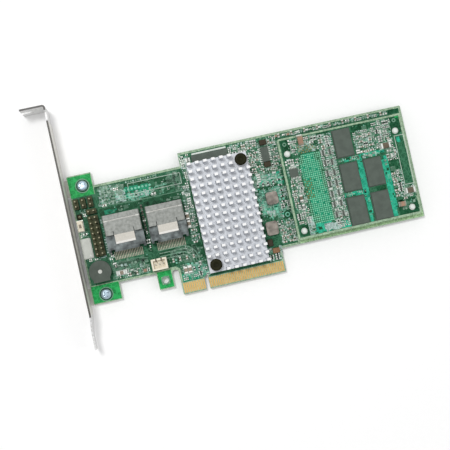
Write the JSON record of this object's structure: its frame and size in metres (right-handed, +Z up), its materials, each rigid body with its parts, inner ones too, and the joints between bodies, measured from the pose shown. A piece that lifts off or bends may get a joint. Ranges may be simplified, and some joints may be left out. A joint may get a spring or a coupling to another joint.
{
  "type": "storage host adapter card",
  "caption": "Expansion card with two internal storage ports, a pin-fin heatsink, a raised memory board, a slotted card edge and a folded steel bracket.",
  "frame": {"origin": "middle of the key notch in the card edge, at the level of the edge's lower line and of the board's component side", "axes": "+X along the board away from the bracket, +Y from the card edge to the board's top edge, +Z up from the component side"},
  "size_m": [0.1844, 0.12, 0.0184],
  "materials": {
    "board_green": "semi-gloss solder mask over glass fibre laminate",
    "contact_gold": "thin gold plating",
    "bracket_steel": "satin zinc-plated sheet",
    "screw_steel": "bright zinc plating",
    "heatsink_aluminium": "matt clear-anodised, sawn fin tops",
    "substrate_green": "package laminate",
    "lid_nickel": "nickel-plated lid",
    "pad_grey": "soft gap pad",
    "push_pin_black": "moulded nylon",
    "spring_steel": "drawn wire",
    "port_plastic": "moulded, blue-grey",
    "shell_steel": "tin-plated formed sheet",
    "lead_gold": "plated leads",
    "header_black": "moulded header body",
    "post_gold": "plated square posts",
    "buzzer_black": "fine moulded texture",
    "crystal_white": "pale ceramic with a satin lid",
    "fuse_cream": "pale ceramic",
    "lamp_black": "moulded frame with a clear lens",
    "connector_cream": "natural nylon",
    "post_tin": "tinned posts",
    "package_black": "moulded epoxy",
    "lead_tin": "tinned leads",
    "ferrite_grey": "pressed ferrite",
    "tantalum_brown": "moulded capacitor body",
    "capacitor_tan": "ceramic body with tinned ends",
    "resistor_dark": "glazed film with tinned ends",
    "nylon_white": "natural nylon",
    "link_black": "moulded connector"
  },
  "bodies": {
    "root": {"main_board": "board_green", "memory_board": "board_green", "edge_contacts_front": "contact_gold", "edge_contacts_back": "contact_gold", "bracket": "bracket_steel", "bracket_screws": "screw_steel", "heatsink": "heatsink_aluminium", "controller_package": "substrate_green", "controller_lid": "lid_nickel", "thermal_pad": "pad_grey", "heatsink_push_pins": "push_pin_black", "push_pin_springs": "spring_steel", "sas_port_1_housing": "port_plastic", "sas_port_1_shell": "shell_steel", "sas_port_1_contacts": "lead_gold", "sas_port_2_housing": "port_plastic", "sas_port_2_shell": "shell_steel", "sas_port_2_contacts": "lead_gold", "pin_header_body": "header_black", "pin_header_posts": "post_gold", "two_pin_header_body": "header_black", "jumper_header_bodies": "header_black", "jumper_header_posts": "post_gold", "buzzer": "buzzer_black", "crystal": "crystal_white", "fuse": "fuse_cream", "status_lamp": "lamp_black", "three_way_connector": "connector_cream", "three_way_connector_posts": "post_tin", "flash_package": "package_black", "logic_package": "package_black", "regulator_package": "package_black", "package_leads": "lead_tin", "power_inductors": "ferrite_grey", "tantalum_capacitors": "tantalum_brown", "large_capacitors": "capacitor_tan", "capacitors": "capacitor_tan", "resistors": "resistor_dark", "board_spacers": "nylon_white", "board_link_socket": "link_black", "board_link_plug": "link_black", "memory_resistor_arrays": "resistor_dark", "memory_capacitors": "capacitor_tan", "memory_large_capacitors": "capacitor_tan", "memory_chip_1": "package_black", "memory_chip_2": "package_black", "memory_chip_3": "package_black", "memory_chip_4": "package_black", "memory_chip_5": "package_black"}
  },
  "joints": []
}
